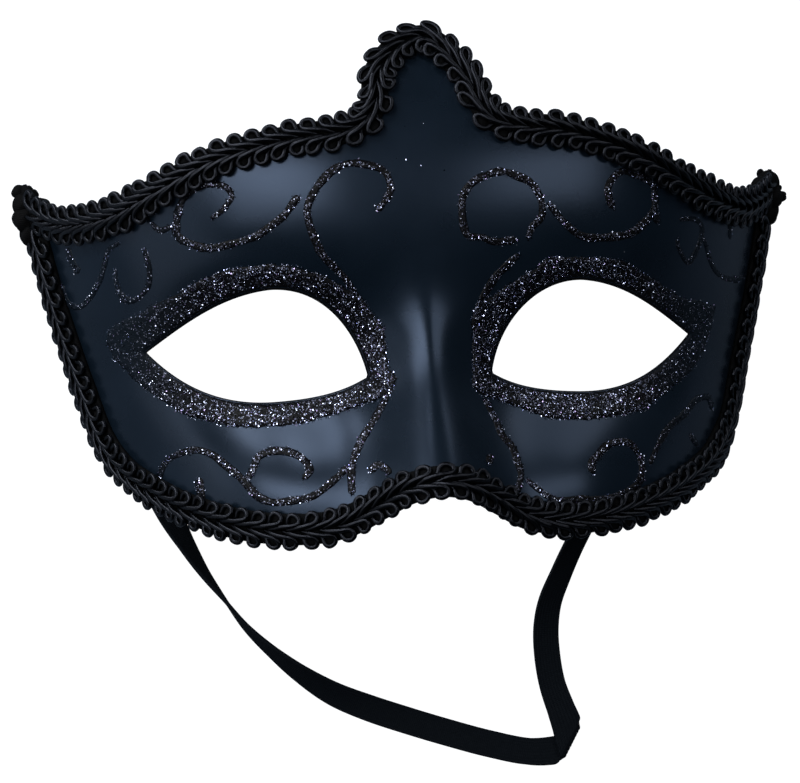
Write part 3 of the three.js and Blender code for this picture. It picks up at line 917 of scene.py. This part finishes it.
def braid_loops(trim, towards, first, last, chance):
    """Rings of every loop on both sides of a braid, whose stems run towards one end of it."""
    count = int(round((last - first) / BRAID_PITCH))
    pitch = (last - first) / count
    lines, normals, radii = [], [], []
    for side in (1, -1):
        middle = first + (np.arange(count) + 0.5 - SIDE_SHIFT * side * towards) * pitch
        shape = np.broadcast_to(LOOP, (count,) + LOOP.shape).copy()
        head = smooth(LOOP[:, 1], *LOOP_HEAD)[None, :]
        for axis, uneven in enumerate(LOOP_UNEVEN):
            shape[..., axis] += chance.normal(0.0, uneven, (count, 1)) * head
        shape[..., :2] += chance.normal(0.0, BEND_UNEVEN, (count, len(LOOP), 2))
        peak = smooth(trim.read(trim.centre, middle)[:, 1], PEAK_FROM, PEAK_TO)
        slant = chance.normal(0.0, SLANT_UNEVEN + SLANT_UNEVEN_PEAK * peak) + PEAK_SLANT * peak * (side > 0)
        shape[..., 0] -= slant[:, None] * np.maximum(LOOP[:, 1] - SLANT_FROM, 0.0)
        shape[..., 2] += (chance.normal(0.0, RISE_UNEVEN_PEAK, count) * peak)[:, None] * head
        local = curve_through(shape, LOOP_STEPS)
        s = middle[:, None] + towards * local[..., 0]
        path, normal = trim.at(s, side * local[..., 1], local[..., 2])
        lines.append(path)
        normals.append(normal)
        radius = CORD_RADIUS * (1 + chance.normal(0.0, CORD_UNEVEN, (count, 1)))
        radii.append(np.repeat(radius, LOOP_STEPS, 1))
    lines, normals = np.concatenate(lines), np.concatenate(normals)
    rings = tube_rings(lines, normals, np.concatenate(radii), LOOP_SIDES)
    return rings_to_mesh(rings), shade_webs_in_loop_eyes(lines[:, LOOP_EYE], normals[:, LOOP_EYE])


def shade_webs_in_loop_eyes(ring, normal):
    """Painted shade: a dull black web that closes the eye of each loop and darkens it."""
    spoke = ring - ring.mean(1, keepdims=True)
    spin = np.cross(spoke, np.roll(spoke, -1, 1)).sum(1)
    back = (spin * normal.mean(1)).sum(-1) < 0.0
    ring, normal = ring.copy(), normal.copy()
    ring[back], normal[back] = ring[back, ::-1], normal[back, ::-1]
    return rings_to_mesh(np.stack([ring - normal * SHADE_WEB_FOOT, ring - normal * SHADE_WEB_TOP], 1))


def braid_tape_mesh(trim, outside, inner, first, last):
    """The tape under the loops, glued down on the shell."""
    s = np.linspace(first, last, int((last - first) / TAPE_STEP))[:, None]
    across = np.linspace(-1.0, 1.0, TAPE_POINTS)
    top = TAPE_TOP - TAPE_DROP * np.abs(across) ** 3
    both = np.concatenate([across, across[::-1]])
    c = both * np.where(both * outside > 0, TAPE_OUTER, inner)
    h = np.concatenate([top, np.full(TAPE_POINTS, -GAP + TAPE_LIFT)])
    ring, _ = trim.at(s, c[None], h[None])
    return rings_to_mesh(ring[None, :, ::-1])


def joined(parts):
    """Several (points, faces, corner uv, finish) meshes as one."""
    points, faces, uv, finish, start = [], [], [], [], 0
    for part_points, part_faces, part_uv, index in parts:
        points.append(part_points)
        faces += [[int(v) + start for v in face] for face in part_faces]
        uv.append(part_uv)
        finish += [index] * len(part_faces)
        start += len(part_points)
    return np.concatenate(points), faces, np.concatenate(uv), finish


def tip_lump(blobs, chance):
    """The braid's end folded over itself and bound: a plump dark lump with knobs of folded cord."""
    up = np.linspace(TIP_POLE, np.pi - TIP_POLE, TIP_ROWS)[:, None]
    around = np.linspace(0.0, 2.0 * np.pi, TIP_SIDES, endpoint=False)[None]
    parts = []
    axes = np.sin(up) * np.cos(around), np.cos(up) + 0.0 * around, -np.sin(up) * np.sin(around)
    round_ball = np.stack(axes, -1)
    for x, y, z, *half in blobs:
        lumps = sum(
            chance.uniform(*LUMP_SHARE)
            * np.sin(chance.uniform(*WAVE_SKEW) * up + k * around + chance.uniform(0, 6.28))
            for k in TIP_LUMPS
        )
        creases = sum(
            chance.uniform(*CREASE_SHARE) * np.sin(k * around + chance.uniform(*WAVE_SKEW) * up)
            for k in TIP_CREASES
        )
        size = 1.0 + (LUMP_HEIGHT * lumps + CREASE_HEIGHT * creases) * np.sin(up)
        ball = np.array([x, y, z]) + round_ball * size[..., None] * np.array(half)
        parts.append((*rings_to_mesh(ball[None, ::-1]), TAPE))
    return parts


def add_braid(name, plan, height_at, towards, tips, materials, node, seed):
    """towards is the end that the stems run to; the top braid has tips, and its outer edge on its left."""
    chance = np.random.default_rng(seed)
    trim = Trim(swayed(plan), height_at, TOP_WIDER if tips else LOWER_WIDER)
    outside, inner, clear = (1, TAPE_INNER[0], TIP_CLEAR) if tips else (-1, TAPE_INNER[1], END_CLEAR)
    tape = braid_tape_mesh(trim, outside, inner, TAPE_CLEAR, trim.length - TAPE_CLEAR)
    loops, eye_shade = braid_loops(trim, towards, clear, trim.length - clear, chance)
    # the webs are painted shade in the eye of each loop
    parts = [(*loops, CORD), (*eye_shade, TAPE), (*tape, TAPE)]
    if tips:
        parts += tip_lump(LEFT_TIP, chance) + tip_lump(RIGHT_TIP, chance)
    points, faces, uv, finish = joined(parts)
    place(build(name, points, faces, materials, uv, finish), node)


LOWER_BRAID = [(-x, y) for x, y in LOWER_BRAID_HALF] + LOWER_BRAID_HALF[-2::-1]
braid_finishes = [gimp_cord(), braid_tape()]
add_braid("gimp_over_brow", TOP_BRAID, stiff_z, 1, True, braid_finishes, "top_braid", 11)
add_braid("gimp_round_cheeks", LOWER_BRAID, face_z, -1, False, braid_finishes, "lower_braid", 12)

# Glue lines and glitter.
GLUE_RISE, GLUE_SINK, GLUE_LEAST, GLUE_LUMPS = 0.32, 0.06, 0.02, 0.05
GLUE_CELL, GLUE_CELL_CLEAR = 0.62, 0.3
SCROLL_WIDTH, SIDE_SCROLL_WIDTH = 1.6, 1.2
SIDE_SCROLL_X, SIDE_SCROLL_Y = 52.0, 20.0  # the narrower scrolls start beyond these
SCROLL_STEP, SCROLL_DENSE, BEAD_POINTS = 0.5, 12, 9
SCROLL_FULL = (0.3, 0.75)  # the share of its length over which a scroll has its full width
SCROLL_WOBBLE, WOBBLE_STEPS, SCROLL_END = 0.10, 3, 0.02
EYE_GLUE_STEP, EYE_GLUE_CLEAR = 0.7, 0.45
EDGE_UNEVEN, HOLE_UNEVEN, CELL_UNEVEN = 0.10, 0.03, 0.15
LUMPS_FROM, GLUE_SHOULDER = 0.5, 0.9  # how far in from its edge the glue is lumpy, and full height
FLAKE_RADIUS, FLAKE_THICKNESS, FLAKE_TIPPED = 0.138, 0.05, 0.56
FLAKE_SIDES, FLAKE_SIZES = 6, (0.7, 1.15)
EYE_FLAKES, SCROLL_FLAKES, STRAY_FLAKES = 8.6, 5.5, 9  # on a square millimetre, but the strays in all
GLITTER_SPILL, EYE_BARE = 0.4, 1.0  # how far flakes spill past the glue, and keep from an eye hole
FLAKE_LIFT = 0.06  # of a flake that lies off the glue
FLAKE_STANDS, FLAKE_UNEVEN = 0.03, (-0.05, 0.10)
BEAD_SHARE, SCROLL_SPILL = 0.95, 0.32
STRAY_X, STRAY_Y = (-12, 4), (44, 62)
# Round the eyes glitter thins out from and to this |x|, by this share in all, and sooner on the wearer's left.
FADE_FROM, FADE_TO, FADE, FADE_SHIFT = 41.0, 64.0, 0.75, 4.0
FAR_SIDE, FAR_SIDE_SHARE = 54.0, 0.35  # glitter is sparse on the scrolls this far to the wearer's left
# The scrolls: how wide each starts and ends against its full width, and its centre line in plan.
SCROLLS = [
    (0.9, 0.6, [
        (-11, 36.5), (-8.5, 39.5), (-8, 42), (-9.5, 45), (-14, 46.5), (-17.5, 46.5), (-21, 44.5),
        (-24, 41), (-25.5, 37.5), (-25, 34), (-23.5, 30), (-22, 27.5), (-18, 23.5), (-14.5, 18.5),
    ]),
    (0.7, 1.0, [
        (-45.5, 37.5), (-43.5, 38.5), (-42, 40), (-41, 41.5), (-42, 43.5), (-44.5, 44.5),
        (-47, 44.5), (-49.5, 43.5), (-51.5, 41.5), (-52.5, 38), (-52.5, 35), (-50, 33),
        (-46, 31.5), (-40.5, 32), (-36, 33), (-33.5, 34.5), (-30.5, 36.5), (-28, 39.5),
        (-27, 40.5),
    ]),
    (0.8, 0.5, [(-53.5, 37), (-56, 36.5), (-58, 38.5)]),
    (0.7, 1.5, [(-75.5, 37.5), (-75, 35), (-73.4, 31.6)]),
    (0.7, 0.7, [
        (-77, 30.5), (-76.5, 27.5), (-75, 25.5), (-72.5, 25), (-69.5, 28), (-68, 31.5),
        (-67, 34.5), (-64.5, 35.5),
    ]),
    (0.6, 0.8, [
        (-65.5, 30.5), (-65.5, 28), (-64.5, 25), (-62, 23.5), (-59, 25.5), (-58.5, 29),
        (-59.5, 33.5),
    ]),
    (0.8, 0.9, [
        (-57.5, -14.5), (-56.5, -11.5), (-54, -10), (-50, -9.5), (-46.5, -11), (-44, -13.5),
        (-41.5, -16), (-39.5, -18.5), (-37.5, -21), (-34.5, -22.5), (-31, -22.5), (-27, -22),
        (-24, -20.5), (-18.2, -15.8),
    ]),
    (0.8, 1.2, [
        (-40, -17.5), (-38.5, -15.5), (-37, -12.5), (-34, -11.5), (-30.5, -12), (-28, -13.5),
        (-26.5, -16), (-28, -18),
    ]),
    (1.2, 0.8, [(-49.5, -15.5), (-49.3, -18), (-49, -21)]),
    (0.8, 0.9, [(-9.6, -1.2), (-12.5, -6), (-15.5, -10.5), (-17.5, -15), (-18, -18), (-18, -22)]),
    (1.0, 0.8, [(-14, -17.5), (-12.5, -16), (-10.5, -17.5), (-10.5, -18.5)]),
    (0.9, 0.8, [
        (18.5, 30), (14, 29.5), (11, 30.5), (8, 31), (7, 35), (7.5, 39.5), (10.5, 42.5),
        (15.5, 44), (19, 43), (22, 41.5), (24, 38), (24, 34.5), (22, 32.5), (21, 30),
    ]),
    (0.9, 0.6, [(19, 27), (15, 23.5), (14, 22.5), (10.5, 17.5)]),
    (0.8, 1.0, [
        (25.5, 37.5), (27, 35.5), (30, 32.5), (34, 30.5), (41.5, 31), (45.5, 32.5), (49.5, 36.5),
        (50, 39), (49.5, 42), (47, 43.5), (42.5, 44.5), (39.5, 42), (39, 39.5), (40, 36.5),
    ]),
    (0.9, 0.6, [(50, 36.5), (50.5, 34)]),
    (0.7, 0.7, [
        (55.5, 31.5), (56, 29.5), (58.5, 27), (61, 30.5), (62, 34.5), (60, 36), (56, 35.5),
    ]),
    (0.7, 0.6, [(62.5, 32.5), (64, 29), (66.5, 26), (71.5, 25.5), (75.5, 27.5)]),
    (0.8, 0.8, [(70, 38), (70, 33.5)]),
    (0.8, 0.9, [
        (11, -2.5), (13, -6.5), (14.5, -10.5), (16.5, -13), (17.5, -16.5), (18, -19.5),
        (16.5, -23.5),
    ]),
    (0.7, 1.1, [
        (19, -20), (22, -22.5), (25.5, -24.5), (31, -24.5), (36, -24.5), (41.5, -23), (45, -20.5),
        (46, -17), (45, -14), (43, -12), (40, -12), (37.5, -13), (35.5, -15), (34, -16.5),
        (34, -19),
    ]),
    (0.7, 0.8, [
        (48, -16.5), (50.5, -12), (53.5, -8), (57.5, -5), (61, -1.5), (64.5, -0.5), (65.5, -3),
    ]),
    (1.8, 1.4, [(11.4, -14.8), (10.8, -17)]),
    (0.9, 0.7, [(59, -9), (61, -11.5)]),
]
EYE_GLITTER = [
    [
        (-67.5, 18.5), (-64.5, 20), (-61, 20.5), (-57.5, 22), (-52.5, 23.5), (-48, 25.5),
        (-43.5, 26.5), (-40, 27), (-37, 27), (-32, 27), (-28, 26), (-22, 24), (-18, 21.5),
        (-14.5, 19.5), (-12, 15.5), (-10, 13), (-9.5, 9), (-9.5, 5), (-7.5, 2), (-9, -1),
        (-12, -2), (-16, -3), (-20, -4), (-26, -5.5), (-31, -6), (-36.5, -6), (-41, -5.5),
        (-44.5, -4.5), (-48, -3), (-51, -2), (-54.5, 0.5), (-57.5, 3), (-61.5, 6.5), (-64.5, 10.5),
        (-66.5, 13), (-68, 16.5),
    ],
    [
        (66.5, 19), (63, 19.5), (60.5, 19.5), (56.5, 20), (53.5, 21.5), (50, 23), (46, 24.5),
        (43, 26), (39, 26.5), (35, 26.5), (30.5, 26.5), (27.5, 26.5), (25, 26), (22.5, 24),
        (19.5, 22.5), (16, 20.5), (13, 18.5), (10, 17.5), (9, 14.5), (9, 10), (9, 6), (8.5, 0),
        (10, -1.5), (13.5, -2.5), (18, -4), (21, -5), (24.5, -6.5), (28.5, -7), (34, -7),
        (38.5, -6.5), (43.5, -5.5), (47.5, -4.5), (52.5, -1), (56.5, 2), (59.5, 4.5), (62.5, 7.5),
        (65, 13.5),
    ],
]


def scroll_ribbons(chance):
    """Raised glue along each scroll: a low lumpy bead whose foot is just inside the shell."""
    parts, beds = [], []
    across = np.linspace(-1.0, 1.0, BEAD_POINTS)
    for first, last, points in SCROLLS:
        line = curve_through(np.array([points], float), SCROLL_DENSE * len(points))[0]
        line = spaced(line, SCROLL_STEP)
        steps = len(line)
        t = np.linspace(0.0, 1.0, steps)
        along = unit(np.gradient(line, axis=0))
        out = np.stack([-along[:, 1], along[:, 0]], -1)
        arc = arc_of(line)
        end = np.minimum(arc, arc[-1] - arc)
        knots = np.arange(-2, steps + WOBBLE_STEPS, WOBBLE_STEPS)
        wave = np.interp(np.arange(steps), knots, chance.normal(0, 1, len(knots)))
        at_side = abs(points[0][0]) > SIDE_SCROLL_X and points[0][1] > SIDE_SCROLL_Y
        full = SIDE_SCROLL_WIDTH if at_side else SCROLL_WIDTH
        share = np.interp(t, [0, *SCROLL_FULL, 1], [first, 1.0, 1.0, last])
        width = full * share * (1 + SCROLL_WOBBLE * wave)
        rounded = 1 - (1 - np.minimum(end / (width / 2), 1.0)) ** 2
        half = width / 2 * np.sqrt(np.clip(rounded, SCROLL_END, 1))
        plan = line[:, None] + out[:, None] * (across[:, None] * half[:, None, None])
        lump = chance.normal(0.0, GLUE_LUMPS, plan.shape[:2])
        bead = GLUE_RISE * np.sqrt(np.maximum(1 - across ** 2, 0)) * np.sqrt(half / half.max())[:, None]
        rise = bead + lump * (1 - across ** 4)
        top = on_height(face_z, plan, np.maximum(rise * full / SCROLL_WIDTH, GLUE_LEAST))
        foot = on_height(face_z, plan, np.full(plan.shape[:2], -GLUE_SINK))
        parts.append((*rings_to_mesh(np.concatenate([top, foot[:, ::-1]], 1)[None]), 0))
        beds.append((line, out, half))
    return parts, beds


def eye_beds(chance):
    """The glue round each eye hole, from just outside the hole to the drawn outline."""
    parts, areas = [], []
    for side, outline in zip((-1, 1), EYE_GLITTER):
        outer = anticlockwise(spaced(np.array(outline, float), EYE_GLUE_STEP, True))
        outer = outer + chance.normal(0.0, EDGE_UNEVEN, outer.shape)
        hole = anticlockwise(spaced(eye_outline(side), EYE_GLUE_STEP, True))
        inner = widened(hole, EYE_GLUE_CLEAR) + chance.normal(0.0, HOLE_UNEVEN, hole.shape)
        low, high = outer.min(0), outer.max(0)
        x, y = np.meshgrid(*(np.arange(low[k], high[k], GLUE_CELL) for k in (0, 1)))
        grid = np.stack([x.ravel(), y.ravel()], -1)
        grid = grid + chance.uniform(-CELL_UNEVEN, CELL_UNEVEN, grid.shape)
        grid = grid[between(grid, outer, inner)]
        grid = grid[distance_to(grid, outer, inner) > GLUE_CELL_CLEAR]
        plan, _, tris = triangulated([outer, inner], grid)
        edge = distance_to(plan, outer, inner)
        lump = chance.normal(0.0, GLUE_LUMPS, len(plan)) * smooth(edge, 0.0, LUMPS_FROM)
        rise = GLUE_LEAST + GLUE_RISE * np.sqrt(smooth(edge, 0.0, GLUE_SHOULDER)) + lump
        count = len(plan)
        top, foot = on_height(face_z, plan, rise), on_height(face_z, plan, np.full(count, -GLUE_SINK))
        faces = tris.tolist() + (tris[:, ::-1] + count).tolist()
        # the border's edges belong to one triangle each; a strip joins top and foot along them
        edges = np.concatenate([tris[:, [0, 1]], tris[:, [1, 2]], tris[:, [2, 0]]]).tolist()
        known = {(a, b) for a, b in edges}
        faces += [[b, a, a + count, b + count] for a, b in edges if (b, a) not in known]
        no_uv = np.zeros((sum(len(face) for face in faces), 2))
        parts.append((np.concatenate([top, foot]), faces, no_uv, 0))
        areas.append((outer, widened(hole, EYE_BARE)))
    return parts, areas


def flakes(plan, rise, chance):
    """Thin six-sided flakes, each turned and tipped its own way, standing in the glue at plan points."""
    count = len(plan)
    normal = normal_of(face_z, plan[:, 0], plan[:, 1])
    at = on_height(face_z, plan, rise)
    tipped = unit(normal + chance.normal(0.0, FLAKE_TIPPED, (count, 3)))
    first = unit(np.cross(tipped, chance.normal(0.0, 1.0, (count, 3))))
    second = np.cross(tipped, first)
    radius = FLAKE_RADIUS * chance.uniform(*FLAKE_SIZES, count)[:, None, None]
    n = FLAKE_SIDES
    angle = np.arange(n) * (2.0 * np.pi) / n
    ring = first[:, None] * np.cos(angle)[:, None] + second[:, None] * np.sin(angle)[:, None]
    half = tipped[:, None] * FLAKE_THICKNESS / 2
    top, foot = at[:, None] + ring * radius + half, at[:, None] + ring * radius - half
    points = np.concatenate([top, foot], 1).reshape(-1, 3)
    sides = [[k, k + n, (k + 1) % n + n, (k + 1) % n] for k in range(n)]
    one = [list(range(n)), list(range(2 * n - 1, n - 1, -1)), *sides]
    faces = [[v + 2 * n * flake for v in face] for flake in range(count) for face in one]
    corners = sum(len(face) for face in one)
    return points, faces, np.repeat(chance.uniform(0.0, 1.0, (count, 2)), corners, 0)


def flakes_round_eyes(areas, chance):
    """Where flakes lie round the eyes, most of them on the glue and a few spilt beside it, and how high."""
    spots = []
    for outer, inner in areas:
        low, high = outer.min(0), outer.max(0)
        tried = chance.uniform(low, high, (int(EYE_FLAKES * np.prod(high - low)), 2))
        tried = tried[between(tried, widened(outer, GLITTER_SPILL), inner)]
        aside = np.abs(tried[:, 0]) + np.where(tried[:, 0] > 0.0, FADE_SHIFT, 0.0)
        kept = 1.0 - FADE * smooth(aside, FADE_FROM, FADE_TO)
        spots.append(tried[chance.uniform(0.0, 1.0, len(tried)) < kept])
    spots = np.concatenate(spots)
    on_glue = np.any([inside(spots, outer) for outer, _ in areas], 0)
    in_glue = GLUE_RISE + FLAKE_STANDS + chance.uniform(*FLAKE_UNEVEN, len(spots))
    return spots, np.where(on_glue, in_glue, FLAKE_LIFT)


def flakes_on_scrolls(beds, chance):
    """Where flakes lie on the scrolls, and a few strays on the brow, and how high."""
    spots, rises = [], []
    for line, out, half in beds:
        sparse = FAR_SIDE_SHARE if line[:, 0].mean() > FAR_SIDE else 1.0
        count = int(SCROLL_FLAKES * sparse * (half * 2).mean() * SCROLL_STEP * len(line))
        k = chance.integers(0, len(line), count)
        across = chance.uniform(-BEAD_SHARE, BEAD_SHARE, count)
        on_bead = line[k] + out[k] * (across * half[k])[:, None]
        spots.append(on_bead + chance.uniform(-SCROLL_SPILL, SCROLL_SPILL, (count, 2)))
        bead = GLUE_RISE * min(1.0, half.max() * 2 / SCROLL_WIDTH)
        rises.append(bead * np.sqrt(1 - across ** 2) + GLUE_LEAST)
    spots.append(np.stack([chance.uniform(*span, STRAY_FLAKES) for span in (STRAY_X, STRAY_Y)], -1))
    rises.append(np.full(STRAY_FLAKES, FLAKE_LIFT))
    return np.concatenate(spots), np.concatenate(rises)


def add_glitter():
    """The glue on the scrolls and round the eyes, and the flakes on each."""
    chance = np.random.default_rng(21)
    glue, flake = glitter_glue(), glitter_flake()
    ribbons, beds = scroll_ribbons(chance)
    eyes, areas = eye_beds(chance)
    points, faces, uv, finish = joined(ribbons + eyes)
    place(build("glue_scrolls_and_eye_rings", points, faces, glue, uv, finish))
    for name, scatter, ground in (
        ("glitter_round_eyes", flakes_round_eyes, areas),
        ("glitter_on_scrolls", flakes_on_scrolls, beds),
    ):
        points, faces, uv = flakes(*scatter(ground, chance), chance)
        place(build(name, points, faces, flake, uv, smooth_faces=False))


add_glitter()

# Floor and light. Of each soft box: its compass angle, 0 on the +X side, its height angle, its two
# sizes in metres and its power.
FLOOR_HALF, FLOOR_Z = 1.6, -0.00005
SKY_COLOUR, SKY_STRENGTH = (0.60, 0.80, 1.0, 1.0), 0.0215
BOX_DISTANCE, BOX_COLOUR = 1.0, (0.91, 0.95, 1.0)
SOFT_BOXES = {
    "left_box": (120.0, 45.0, 0.19, 0.38, 1.95),
    "left_high_box": (188.0, 60.5, 0.28, 0.58, 1.16),
    "left_middle_box": (171.0, 56.5, 0.20, 0.75, 2.70),
    "left_side_box": (192.1, 16.5, 0.90, 0.65, 1.12),
    "left_low_box": (172.0, 14.0, 0.15, 0.15, 0.09),
    "right_low_box": (44.7, 24.3, 0.39, 0.90, 1.75),
    "right_high_box": (3.1, 60.5, 0.24, 0.60, 1.20),
    "back_low_box": (136.6, 12.0, 0.26, 0.90, 5.90),
}


def add_floor():
    mesh = bpy.data.meshes.new("floor")
    corners = [(-1, -1), (1, -1), (1, 1), (-1, 1)]
    mesh.from_pydata([(x * FLOOR_HALF, y * FLOOR_HALF, FLOOR_Z) for x, y in corners], [], [[0, 1, 2, 3]])
    mesh.materials.append(pale_floor())
    into_scene("floor", mesh)


def add_light(name, compass, height, width, length, power):
    """A soft box that looks at the mask."""
    data = bpy.data.lights.new(name, "AREA")
    data.shape = "RECTANGLE"
    data.size, data.size_y = width, length
    data.energy = power
    data.color = BOX_COLOUR
    light = into_scene(name, data)
    a, b = np.radians(compass), np.radians(height)
    way = Vector((np.cos(a) * np.cos(b), np.sin(a) * np.cos(b), np.sin(b)))
    light.location = way * BOX_DISTANCE
    light.rotation_euler = way.to_track_quat("Z", "Y").to_euler()


def add_world():
    world = bpy.data.worlds.new("studio")
    world.use_nodes = True
    sky = world.node_tree.nodes["Background"]
    sky.inputs[0].default_value = SKY_COLOUR
    sky.inputs[1].default_value = SKY_STRENGTH
    bpy.context.scene.world = world


add_floor()
add_world()
for name, values in SOFT_BOXES.items():
    add_light(name, *values)
bpy.context.scene.view_settings.view_transform = "Standard"
